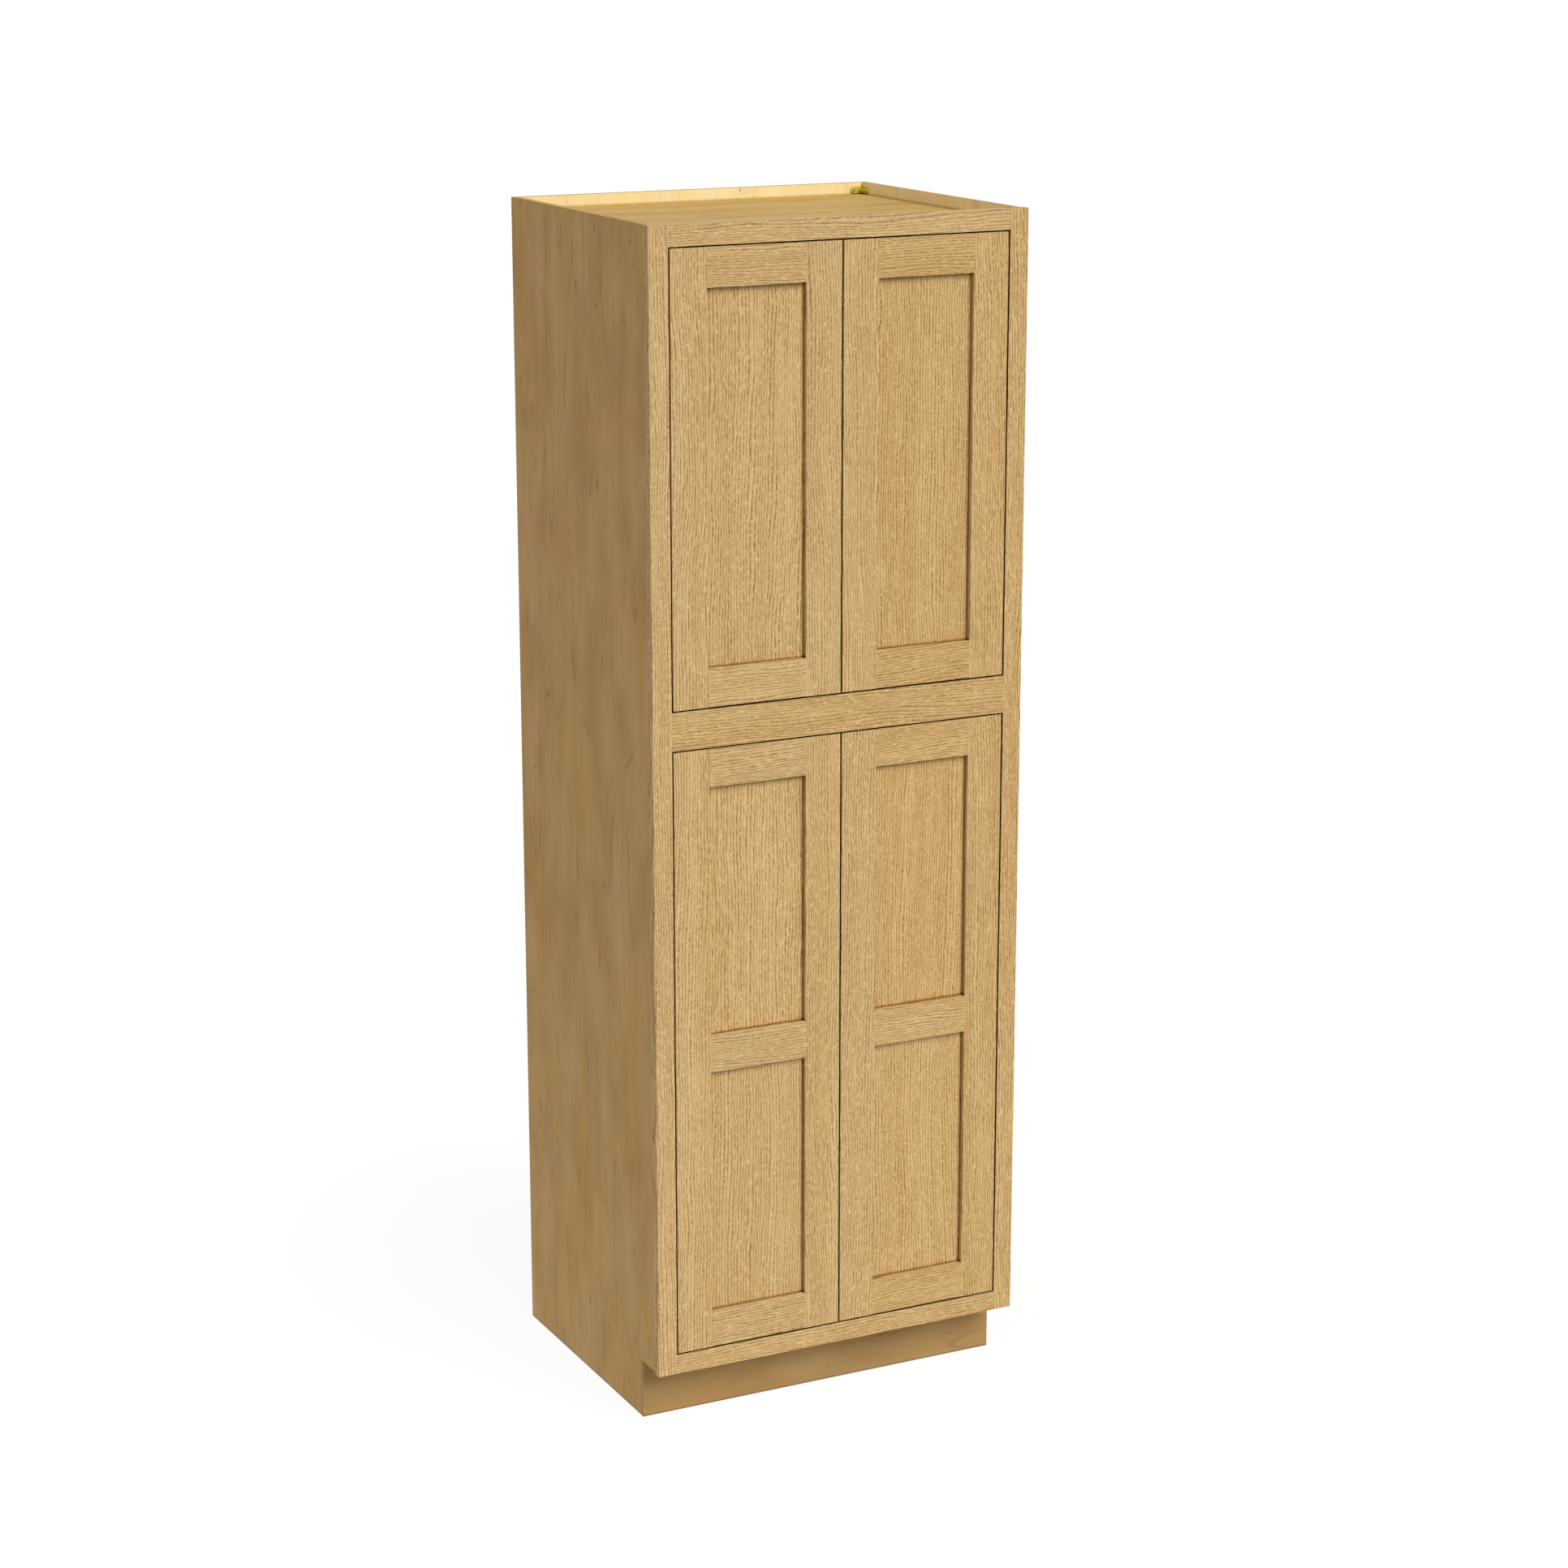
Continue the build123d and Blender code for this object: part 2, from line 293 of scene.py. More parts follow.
slow_wave = sway(oak, point, slow_cycles, slow_reach)
quick_wave = sway(oak, point, quick_cycles, quick_reach)
across = math_node(oak, "ADD", math_node(oak, "ADD", axes.outputs[0], slow_wave), quick_wave)
radius = add_node(oak, "ShaderNodeVectorMath", operation="LENGTH")
flat_point = add_node(oak, "ShaderNodeCombineXYZ", {0: across, 1: axes.outputs[1]})
oak.links.new(flat_point.outputs[0], radius.inputs[0])
growth = math_node(oak, "DIVIDE", radius.outputs["Value"], given.outputs["Ring Width"])
growth = math_node(oak, "MULTIPLY_ADD", noise(oak, point, ring_drift_cycles), ring_drift, growth)
year = math_node(oak, "FRACT", growth)
early = math_node(oak, "MULTIPLY", remap(oak, year, *early_ends), remap(oak, year, *early_starts))
print("rings:", len(oak.nodes), "nodes")

# %% [markdown]
# ### Pores and fibres
# A pore is a thin tube, and the saw opens it into a dash. Single dashes would have to be scattered by the
# thousand; noise that is stretched along the grain gives them at once. Short and long dashes are mixed by
# a slow drift, since pores change their length along a real board. Most of them lie in a ring's early
# band.

# %% Pores and fibres
short_dash_cycles = (720, 720, 160)
long_dash_cycles = (600, 600, 66)
length_drift_cycles = (10, 10, 1.3)
strength_cycles = (90, 90, 9)
fibre_cycles = (1500, 1500, 24)
pale_fibre_cycles = (660, 660, 70)
pore_edge = (0.39, 0.55)
late_pores = 0.15

bent_axes = {0: across, 1: axes.outputs[1], 2: axes.outputs[2]}
bent_point = add_node(oak, "ShaderNodeCombineXYZ", bent_axes).outputs[0]
short_dashes = noise(oak, bent_point, short_dash_cycles)
long_dashes = noise(oak, bent_point, long_dash_cycles)
length_drift = remap(oak, noise(oak, point, length_drift_cycles), 0.48, 0.72)
long_share = math_node(oak, "MAXIMUM", length_drift, given.outputs["Long Grain"])
longer = math_node(oak, "SUBTRACT", long_dashes, short_dashes)
dashes = remap(oak, math_node(oak, "MULTIPLY_ADD", longer, long_share, short_dashes), *pore_edge)
strength = remap(oak, noise(oak, bent_point, strength_cycles), 0.30, 0.60, 0.55, 1.0)
in_band = math_node(oak, "MULTIPLY_ADD", early, 1.0 - late_pores, late_pores)
pores = math_node(oak, "MULTIPLY", math_node(oak, "MULTIPLY", dashes, strength), in_band)
fibre = noise(oak, bent_point, fibre_cycles, 1.0)
pale_fibre = noise(oak, bent_point, pale_fibre_cycles, 1.0)
print("rings and pores:", len(oak.nodes), "nodes")

# %% [markdown]
# ### Colour of the oak
# Between the pores the wood runs in broad stripes of straw and honey, with a rosy blush in places and
# fine pale fibres. Pores are brown, and they are also rougher and deeper than the wood round them. So one
# pattern drives colour, gloss and relief, where a picture for each could drift apart.

# %% Colour of the oak
straw = tone(222, 188, 131)
honey = tone(213, 175, 117)
rose = tone(213, 170, 116)
pore_brown = tone(132, 90, 44)
pale_straw = tone(243, 215, 161)
pale_fibre_share = 0.6
stripe_cycles = (26, 26, 0.9)
blush_cycles = (14, 14, 1.2)
blush_share = 0.3
early_share = 0.16
fibre_share = 0.10
wood_rough = 0.46
pore_rough = 0.22
fibre_height = 0.25

stripe = noise(oak, point, stripe_cycles)
body_color = mix_color(oak, remap(oak, stripe, 0.30, 0.66, 0.15, 1.0), honey, straw)
blush = remap(oak, noise(oak, point, blush_cycles), 0.5, 0.68, 0.0, blush_share)
body_color = mix_color(oak, blush, body_color, rose)
body_color = mix_color(oak, math_node(oak, "MULTIPLY", early, early_share), body_color, pore_brown)
body_color = mix_color(oak, remap(oak, fibre, 0.35, 0.65, 0.0, fibre_share), body_color, pore_brown)
pale_lines = remap(oak, pale_fibre, 0.48, 0.68, 0.0, pale_fibre_share)
body_color = mix_color(oak, pale_lines, body_color, pale_straw)
pore_color_share = math_node(oak, "MULTIPLY", pores, given.outputs["Pore Share"])
oak_color = mix_color(oak, pore_color_share, body_color, pore_brown)
oak_roughness = math_node(oak, "MULTIPLY_ADD", pores, pore_rough, wood_rough)
oak_height = math_node(oak, "SUBTRACT", math_node(oak, "MULTIPLY", fibre, fibre_height), pores)
add_node(oak, "NodeGroupOutput", {"Color": oak_color, "Roughness": oak_roughness, "Height": oak_height})
print("oak group:", len(oak.nodes), "nodes")

# %% [markdown]
# ## Cutting boards from the log
# Each stile, rail and panel of a real door is its own board. A board's Mapping node turns the log so that
# the grain runs along the board, and moves it so that no two boards show the same wood. In gaps and inner
# corners an Ambient Occlusion node darkens and reddens the wood. That is painted shade, standing in for the
# shadow that falls there. Small brown marks can be set one by one, because noise can't put a mark in a
# given place.

# %% The finish of one board
pore_depth = 0.00035
pore_relief = 0.5
# Painted shade: how far the Ambient Occlusion looks, where its darkening starts and ends, and its dark brown.
painted_shade_reach = 0.0055
painted_shade_closed = 0.34
painted_shade_open = 0.92
painted_shade_redness = 1.1
painted_shade_samples = 4
painted_shade_brown = tone(42, 19, 4)
mark_brown = tone(96, 58, 24)
mark_strength = 0.75
oak_painted_shade = 0.97
oak_gloss = 0.06


def board_material(
    name, group, turn, place, tint, group_inputs=None, marks=(), painted_shade_share=oak_painted_shade, gloss=oak_gloss
):
    """A board's finish: the group's wood, turned and moved, its tone, brown marks and painted shade in gaps.
    """
    material = bpy.data.materials.new(name)
    material.use_nodes = True
    tree = material.node_tree
    tree.nodes.clear()
    spot = add_node(tree, "ShaderNodeTexCoord").outputs["Object"]
    turned = add_node(tree, "ShaderNodeMapping", {"Vector": spot, "Location": place, "Rotation": turn})
    wood = add_node(tree, "ShaderNodeGroup", node_tree=group)
    tree.links.new(turned.outputs[0], wood.inputs["Board Point"])
    for key, value in (group_inputs or {}).items():
        wood.inputs[key].default_value = value
    color = wood.outputs["Color"]
    for middle, half_width, half_height in marks:
        away = add_node(tree, "ShaderNodeVectorMath", {0: spot, 1: middle}, operation="SUBTRACT").outputs[0]
        away = scaled(tree, away, (1 / half_width, 1 / half_width, 1 / half_height))
        reach = add_node(tree, "ShaderNodeVectorMath", {0: away}, operation="LENGTH").outputs["Value"]
        color = mix_color(tree, remap(tree, reach, 1.0, 0.2, 0.0, mark_strength), color, mark_brown)
    inputs = {"Color": color, "Value": tint[0], "Saturation": tint[1]}
    toned = add_node(tree, "ShaderNodeHueSaturation", inputs).outputs[0]
    # Painted shade: near other surfaces the AO darkens and reddens the wood, standing in for the shadow
    # there.
    near = {"Distance": painted_shade_reach}
    open_air = add_node(tree, "ShaderNodeAmbientOcclusion", near, samples=painted_shade_samples)
    painted_shade = remap(tree, open_air.outputs["AO"], painted_shade_closed, painted_shade_open, painted_shade_share, 0.0)
    redder = math_node(tree, "MULTIPLY_ADD", painted_shade, painted_shade_redness, 1.0)
    shade_deepened = add_node(tree, "ShaderNodeGamma", {"Color": toned, "Gamma": redder}).outputs[0]
    shaded = mix_color(tree, painted_shade, shade_deepened, painted_shade_brown)
    relief = {"Height": wood.outputs["Height"], "Strength": pore_relief, "Distance": pore_depth}
    bump = add_node(tree, "ShaderNodeBump", relief)
    inputs = {"Base Color": shaded, "Roughness": wood.outputs["Roughness"], "Normal": bump.outputs[0]}
    inputs["Specular IOR Level"] = gloss
    surface = add_node(tree, "ShaderNodeBsdfPrincipled", inputs)
    add_node(tree, "ShaderNodeOutputMaterial", {"Surface": surface.outputs[0]})
    return material


def dress(node_name, material):
    """Puts a finish on a board or fitting."""
    mesh = nodes[node_name].data
    mesh.materials.clear()
    mesh.materials.append(material)


print("board finish ready")

# %% [markdown]
# ### Oak boards
# Stiles and panels stand upright and rails lie across. Real boards differ a little in tone and in the
# length of their pores, so draws from a fixed seed choose each board's place in the log, its tone and the
# lean of its grain. Towards the right of the cabinet the boards are also made a little darker and warmer.
# That is painted light, standing in for how the light falls across the front.

# %% Oak boards
ring_width = 0.0054
long_grain = {"stile": 0.1, "panel": 0.2, "rail": 0.35}
pore_share = {"stile": 0.74, "panel": 0.79, "rail": 0.72}
paleness = {"stile": 0.99, "panel": 1.012, "rail": 0.978}
painted_shade_to_right = 0.03
painted_warm_light_to_right = 0.09
grain_up = (0.0, 0.0, 0.0)
grain_across = (0.0, math.radians(90), 0.0)
grain_lean = 1.6
pith_ranges = ((0.9, 1.6), (0.5, 0.9), (-4.0, 4.0))
value_range = (0.975, 1.010)
warmth_range = (0.99, 1.03)
log_seed = 41
log_draw = random.Random(log_seed)


def is_oak(name):
    """True for the face frame and for the doors' stiles, rails and panels."""
    return name.endswith(("_stile", "_rail")) or ("door" in name and name.endswith("panel"))


oak_boards = sorted(name for name in nodes if is_oak(name))
for name in oak_boards:
    lies_across = name.endswith("_rail")
    pith = tuple(log_draw.uniform(*reach) for reach in pith_ranges)
    tone_shift = [log_draw.uniform(*value_range), log_draw.uniform(*warmth_range)]
    kind = name.rsplit("_", 1)[1]
    tone_shift[0] *= paleness[kind]
    low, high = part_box(name)
    middle_x = (low.x + high.x) / 2
    # Painted light: boards further right are made darker and warmer, for how the light falls across the
    # front.
    tone_shift[0] -= painted_shade_to_right * middle_x
    tone_shift[1] += painted_warm_light_to_right * middle_x
    turn = list(grain_across if lies_across else grain_up)
    turn[1] += math.radians(log_draw.uniform(-grain_lean, grain_lean))
    grain = {"Ring Width": ring_width, "Long Grain": long_grain[kind], "Pore Share": pore_share[kind]}
    dress(name, board_material(f"oak {name}", oak, turn, pith, tone_shift, grain))
print("oak boards:", len(oak_boards))

# %% [markdown]
# ## Maple plywood
# The box is plywood faced with maple: close and almost plain, with faint broad figure, cloudy patches and
# a few short brown flecks. Growth lines come from slow noise cut into steps, like the contour lines of a
# map, which is how a knife that peels round a log draws them. Rings like the oak's would look sawn.

# %% Figure of the maple
pale_maple = tone(253, 236, 184)
warm_maple = tone(250, 226, 164)
figure_cycles = (16, 16, 3.2)
cloud_cycles = (12, 12, 6)
fine_cycles = (240, 240, 7)
fleck_cycles = (120, 120, 16)
streak_cycles = (70, 70, 1.2)
hill_cycles = (5, 5, 0.9)
hill_lines = 14.0
broken_cycles = (30, 30, 9)

maple = new_group(
    "maple",
    "ShaderNodeTree",
    {
        "Board Point": "NodeSocketVector",
        "Stained": "NodeSocketFloat",
        "Stain": "NodeSocketColor",
        "Cut Edge": "NodeSocketFloat",
        "Through": "NodeSocketFloat",
    },
    {"Color": "NodeSocketColor", "Roughness": "NodeSocketFloat", "Height": "NodeSocketFloat"},
)
given = add_node(maple, "NodeGroupInput")
point = given.outputs["Board Point"]
figure = noise(maple, point, figure_cycles, 4.0)
cloud = noise(maple, point, cloud_cycles, 3.0)
fine = noise(maple, point, fine_cycles, 1.0)
flecks = remap(maple, noise(maple, point, fleck_cycles, 1.0), 0.755, 0.80)
streaks = remap(maple, noise(maple, point, streak_cycles), 0.55, 0.72)
contours = math_node(maple, "MULTIPLY", noise(maple, point, hill_cycles), hill_lines)
hills = math_node(maple, "FRACT", contours)
from_line = math_node(maple, "ABSOLUTE", math_node(maple, "SUBTRACT", hills, 0.5))
broken = remap(maple, noise(maple, point, broken_cycles), 0.42, 0.62)
growth_lines = math_node(maple, "MULTIPLY", remap(maple, from_line, 0.08, 0.0), broken)
face = mix_color(maple, remap(maple, figure, 0.28, 0.72), pale_maple, warm_maple)
print("maple figure:", len(maple.nodes), "nodes")

# %% [markdown]
# ### Stain and layers
# Inside, on the back and on the walls of the recess on top, the maple is left pale. The outer faces of
# the sides, the top panel and the toe board are stained to go with the oak. The toe board is darker than
# the sides: partly its own stain, partly painted shade for the shadow under the overhang. One group makes
# both: the stain multiplies the pale wood, as a real stain does, and the figure shows more under it. Cut
# edges show the layers of the plywood, every second one being end grain.

# %% Stain and layers
fleck_brown = tone(150, 106, 58)
side_stain = (0.692, 0.528, 0.404, 1.0)
# The toe board's colour is partly real stain and partly painted shade for the shadow under the overhang.
toe_stain_and_shade = (0.500, 0.376, 0.290, 1.0)
top_stain = (0.66, 0.51, 0.285, 1.0)
ply_light = tone(226, 192, 134)
ply_dark = tone(176, 134, 86)
ply_thickness = 0.0018
streak_share = 0.05
growth_share = 0.24
fleck_share = 0.4
cloud_share = 0.15
fine_share = 0.06
shows_bare = 0.4
edge_fine_share = 0.4
edge_rough = 0.25
sanded_rough = (0.42, 0.52)
fine_height = 0.12

shows = math_node(maple, "MULTIPLY_ADD", given.outputs["Stained"], 1.0 - shows_bare, shows_bare)
growth_lines = math_node(maple, "MULTIPLY", growth_lines, shows)
for layer, share in ((streaks, streak_share), (growth_lines, growth_share), (flecks, fleck_share)):
    face = mix_color(maple, math_node(maple, "MULTIPLY", layer, share), face, fleck_brown)
cloudy = math_node(maple, "MULTIPLY", remap(maple, cloud, 0.40, 0.66, 0.0, cloud_share), shows)
face = mix_color(maple, cloudy, face, fleck_brown)
face = mix_color(maple, remap(maple, fine, 0.35, 0.7, 0.0, fine_share), face, fleck_brown)
face = mix_color(maple, given.outputs["Stained"], face, given.outputs["Stain"], "MULTIPLY")
layer = math_node(maple, "PINGPONG", given.outputs["Through"], ply_thickness)
layer = remap(maple, layer, 0.45 * ply_thickness, 0.55 * ply_thickness)
layers = mix_color(maple, layer, ply_light, ply_dark)
layers = mix_color(maple, remap(maple, fine, 0.4, 0.7, 0.0, edge_fine_share), layers, ply_dark)
wood = mix_color(maple, given.outputs["Cut Edge"], face, layers)
sanded = remap(maple, figure, 0.3, 0.7, *sanded_rough)
maple_roughness = math_node(maple, "MULTIPLY_ADD", given.outputs["Cut Edge"], edge_rough, sanded)
maple_height = math_node(maple, "MULTIPLY", fine, fine_height)
add_node(maple, "NodeGroupOutput", {"Color": wood, "Roughness": maple_roughness, "Height": maple_height})
print("maple group:", len(maple.nodes), "nodes")

# %% [markdown]
# ### Plywood boards
# Sides and back stand with their grain upright; decks and shelves lie. The toe board and the top panel
# are stained all over, the sides on the outside alone, so their finish looks at how far out a point is.
# Layers show on the cut edges of the sides, the back and the toe board, which the direction of a face
# tells; decks and shelves are edged with maple. One material for each board is enough for this, where two
# or three slots would need their faces sorted.

# %% Plywood boards
thickness_axis = {"left_side_panel": 0, "right_side_panel": 0, "back_panel": 1, "toe_board": 1}
upright_boards = ["left_side_panel", "right_side_panel", "back_panel"]
lying_boards = ["bottom_panel", "fixed_shelf", "top_panel", "toe_board"]
lying_boards += sorted(name for name in nodes if "_shelf_" in name)
skin = 0.0003
bare_gloss = 0.015
# Plywood takes a smaller share of the same painted shade in its corners.
ply_painted_shade = 0.5
# Painted light: the side panels are made a little lighter, for the light on the right wall of the recess on
# top.
side_painted_light = (1.05, 1.0)
plain_tint = (1.0, 1.0)
log_reach = 3.0
whole_stain = {"toe_board": toe_stain_and_shade, "top_panel": top_stain}
left_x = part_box("left_side_panel")[0].x
# Each mark's place along y and z, and half its height.
side_marks = [
    (0.0137, 2.1275, 0.022), (-0.0725, 2.2373, 0.010), (-0.0768, 2.0974, 0.009), (-0.2275, 2.2268, 0.010),
    (-0.0716, 1.7724, 0.022), (-0.0377, 1.7523, 0.011), (0.2473, 1.1713, 0.008), (-0.0532, 0.8677, 0.032),
    (-0.0644, 0.3798, 0.012), (0.0154, 0.1489, 0.019), (0.2520, 0.4731, 0.019), (-0.0719, 0.1227, 0.012),
]
side_mark_half_width = 0.0026
back_mark = (0.0965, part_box("back_panel")[0].y, 2.2555)
back_mark_half_width = 0.0022
back_mark_half_height = 0.0050
wood_marks = {
    "left_side_panel": [((left_x, y, z), side_mark_half_width, tall) for y, z, tall in side_marks],
    "back_panel": [(back_mark, back_mark_half_width, back_mark_half_height)],
}


def show_cut_edges(material, axis, stained_beyond=None):
    """Layers on the cut edges of a board that is thin along this axis, and stain beyond a place on it."""
    tree = material.node_tree
    wood = next(node for node in tree.nodes if node.type == "GROUP")
    coordinates = next(node for node in tree.nodes if node.type == "TEX_COORD")
    spot = add_node(tree, "ShaderNodeSeparateXYZ", {0: coordinates.outputs["Object"]}).outputs[axis]
    facing = add_node(tree, "ShaderNodeSeparateXYZ", {0: coordinates.outputs["Normal"]}).outputs[axis]
    edge = math_node(tree, "LESS_THAN", math_node(tree, "ABSOLUTE", facing), 0.5)
    tree.links.new(edge, wood.inputs["Cut Edge"])
    tree.links.new(spot, wood.inputs["Through"])
    if stained_beyond is not None:
        outside = math_node(tree, "GREATER_THAN", math_node(tree, "ABSOLUTE", spot), stained_beyond)
        tree.links.new(outside, wood.inputs["Stained"])


for name in upright_boards + lying_boards:
    turn = grain_up if name in upright_boards else grain_across
    place = tuple(log_draw.uniform(-log_reach, log_reach) for axis in range(3))
    stain = {"Stain": whole_stain.get(name, side_stain), "Stained": 1.0 if name in whole_stain else 0.0}
    tint = side_painted_light if name.endswith("side_panel") else plain_tint
    marks = wood_marks.get(name, ())
    finish = board_material(f"maple {name}", maple, turn, place, tint, stain, marks, ply_painted_shade, bare_gloss)
    if name in thickness_axis:
        low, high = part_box(name)
        outer = max(abs(low[0]), abs(high[0])) - skin if name.endswith("side_panel") else None
        show_cut_edges(finish, thickness_axis[name], outer)
    dress(name, finish)
print("maple boards:", len(upright_boards + lying_boards))

# %% [markdown]
# ## Fittings
# Hidden fittings are small, but an open door shows them: zinc-plated steel pins and plates, brown nylon
# bushings, brown plastic catches and olive plastic braces. A plain colour would do from afar. Each has a
# fine unevenness in its gloss, which is what makes a small moulded or plated part look real.

# %% Finishes for the fittings
mottle_cycles = (260.0, 260.0, 260.0)
mottle_relief = 0.25
mottle_depth = 0.00008
shinier = 0.07
duller = 0.09


def fitting_material(name, color, worn_color, rough, metallic=0.0):
    """Plastic or metal with a fine mottle in colour and gloss."""
    material = bpy.data.materials.new(name)
    material.use_nodes = True
    tree = material.node_tree
    tree.nodes.clear()
    spot = add_node(tree, "ShaderNodeTexCoord").outputs["Object"]
    mottle = noise(tree, spot, mottle_cycles, 3.0)
    skin_color = mix_color(tree, remap(tree, mottle, 0.35, 0.68), color, worn_color)
    gloss = remap(tree, mottle, 0.3, 0.7, rough - shinier, rough + duller)
    relief = {"Height": mottle, "Strength": mottle_relief, "Distance": mottle_depth}
    bump = add_node(tree, "ShaderNodeBump", relief)
    inputs = {"Base Color": skin_color, "Roughness": gloss, "Normal": bump.outputs[0], "Metallic": metallic}
    surface = add_node(tree, "ShaderNodeBsdfPrincipled", inputs)
    add_node(tree, "ShaderNodeOutputMaterial", {"Surface": surface.outputs[0]})
    return material


zinc_steel = fitting_material("zinc steel", tone(196, 196, 190), tone(172, 172, 168), 0.34, 1.0)
yellow_zinc = fitting_material("yellow zinc", tone(206, 186, 92), tone(186, 164, 70), 0.36, 1.0)
brown_nylon = fitting_material("brown nylon", tone(62, 44, 30), tone(50, 35, 24), 0.5)
catch_brown = fitting_material("catch plastic", tone(92, 66, 44), tone(80, 56, 37), 0.42)
olive_plastic = fitting_material("olive plastic", tone(206, 196, 58), tone(182, 172, 40), 0.35)

for name in nodes:
    if name.endswith(("_pins", "_strike_plate")):
        dress(name, zinc_steel)
    elif name.endswith("_bushings"):
        dress(name, brown_nylon)
    elif name.endswith("_catch"):
        dress(name, catch_brown)
    elif name.endswith("_brace"):
        dress(name, olive_plastic)
print("fittings dressed")

# %% [markdown]
# ## Geometry Nodes for what repeats
# Screws, staples and shelf pin bores repeat, so each is made once and placed on points. A point carries
# the way it faces. A helper sets a tree's named inputs by their socket identifiers, evaluates it, and
# keeps the result as a plain mesh, because instances and live modifiers would be lost when the model is
# exported. A mesh could be copied in a loop instead, but a tree keeps its sizes as named inputs.

# %% Helpers for points and pieces
def point_cloud(name, spots):
    """A mesh of loose points; each spot is a place and the direction that the thing on it faces."""
    mesh = bpy.data.meshes.new(name)
    mesh.from_pydata([place for place, facing in spots], [], [])
    facing = mesh.attributes.new("facing", "FLOAT_VECTOR", "POINT")
    for item, (place, direction) in zip(facing.data, spots):
        item.vector = direction
    cloud = bpy.data.objects.new(name, mesh)
    bpy.context.scene.collection.objects.link(cloud)
    return cloud


def run_tree(cloud, group, values):
    """The tree's result on the points as a plain mesh in the same object, with no modifier left."""
    modifier = cloud.modifiers.new("build", "NODES")
    modifier.node_group = group
    for item in group.interface.items_tree:
        if item.item_type == "SOCKET" and item.in_out == "INPUT" and item.name in values:
            modifier[item.identifier] = values[item.name]
    evaluated = cloud.evaluated_get(bpy.context.evaluated_depsgraph_get())
    result = bpy.data.meshes.new_from_object(evaluated)
    result.materials.clear()
    result.materials.append(values["Material"])
    cloud.modifiers.remove(modifier)
    cloud.data = result
    return cloud


def keep(piece, body):
    """A finished piece moves with a body, and its face count is printed."""
    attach(piece, body)
    print(piece.name, "faces:", len(piece.data.polygons))


print("piece helpers ready")

# %% [markdown]
# All the trees start and end alike: points and sizes come in, and the result is made real and given its
# material. Helpers hold these ends, so that a tree's own cell shows only what is special about it.

# %% Helpers for geometry trees
def start_tree(name, inputs):
    """A geometry tree with points coming in and its named inputs; gives the tree and its input node."""
    sockets = {"Geometry": "NodeSocketGeometry", **inputs, "Material": "NodeSocketMaterial"}
    group = new_group(name, "GeometryNodeTree", sockets, {"Geometry": "NodeSocketGeometry"})
    return group, add_node(group, "NodeGroupInput")


def end_tree(group, given, geometry):
    """The tree's last steps: real geometry with its material, and out."""
    real = add_node(group, "GeometryNodeRealizeInstances", {0: geometry})
    finish = {"Geometry": real.outputs[0], "Material": given.outputs["Material"]}
    done = add_node(group, "GeometryNodeSetMaterial", finish)
    add_node(group, "NodeGroupOutput", {0: done.outputs[0]})


def stand_on_points(group, given, shape):
    """Stands the shape on every point along its facing, and ends the tree."""
    facing = add_node(group, "GeometryNodeInputNamedAttribute", {"Name": "facing"}, data_type="FLOAT_VECTOR")
    turn = add_node(group, "FunctionNodeAlignRotationToVector", {"Vector": facing.outputs[0]}, axis="Z")
    inputs = {"Points": given.outputs["Geometry"], "Instance": shape, "Rotation": turn.outputs[0]}
    copies = add_node(group, "GeometryNodeInstanceOnPoints", inputs)
    end_tree(group, given, copies.outputs[0])


def raised(group, geometry, height):
    """The geometry moved up by a height."""
    vector = add_node(group, "ShaderNodeCombineXYZ", {2: height}).outputs[0]
    inputs = {"Geometry": geometry, "Translation": vector}
    return add_node(group, "GeometryNodeTransform", inputs).outputs[0]


print("geometry helpers ready")

# %% [markdown]
# ### Screws
# Pan-head screws hold the braces and the catches. A head is a low cone with a smaller flat top and a
# cross recess, cut by two bars with a boolean; a bump map would vanish at a glancing view. The strike
# plates close to a third of a millimetre from the catch, so their screws are countersunk: the same tree
# with a head that barely stands out.

# %% The screw head tree
round_sides = 18
top_share = 0.62
recess_share = 0.56
screw_tree, given = start_tree(
    "screw heads",
    {"Head Diameter": "NodeSocketFloat", "Head Height": "NodeSocketFloat", "Recess Width": "NodeSocketFloat"},
)
head_radius = math_node(screw_tree, "MULTIPLY", given.outputs["Head Diameter"], 0.5)
top_radius = math_node(screw_tree, "MULTIPLY", head_radius, top_share)
head_height = given.outputs["Head Height"]
cone = {"Vertices": round_sides, "Radius Top": top_radius, "Radius Bottom": head_radius, "Depth": head_height}
head = add_node(screw_tree, "GeometryNodeMeshCone", cone)
recess_width = given.outputs["Recess Width"]
recess_long = math_node(screw_tree, "MULTIPLY", given.outputs["Head Diameter"], recess_share)
recess_bars = []
for long_axis in (0, 1):
    sizes = {0: recess_width, 1: recess_width, 2: head_height}
    sizes[long_axis] = recess_long
    bar_size = add_node(screw_tree, "ShaderNodeCombineXYZ", sizes).outputs[0]
    bar = add_node(screw_tree, "GeometryNodeMeshCube", {"Size": bar_size}).outputs["Mesh"]
    recess_bars.append(raised(screw_tree, bar, head_height))
cut_way = {"operation": "DIFFERENCE", "solver": "EXACT"}
cut = add_node(screw_tree, "GeometryNodeMeshBoolean", {0: head.outputs["Mesh"]}, **cut_way)
for bar in recess_bars:
    screw_tree.links.new(bar, cut.inputs["Mesh 2"])
stand_on_points(screw_tree, given, cut.outputs["Mesh"])
print("screw head tree:", len(screw_tree.nodes), "nodes")

# %% [markdown]
# Every screw's place is read from the piece that it holds, so the screws follow when a piece changes. The
# screws of one body are one mesh. A door's own screw swings with that door.

# %% Screws in place
brace_plate = 0.003
catch_screw_inset = 0.008
small_screw = {
    "Head Diameter": 0.0068,
    "Head Height": 0.0022,
    "Recess Width": 0.0009,
    "Material": yellow_zinc,
}
sunk_screw = {**small_screw, "Head Height": 0.0002}

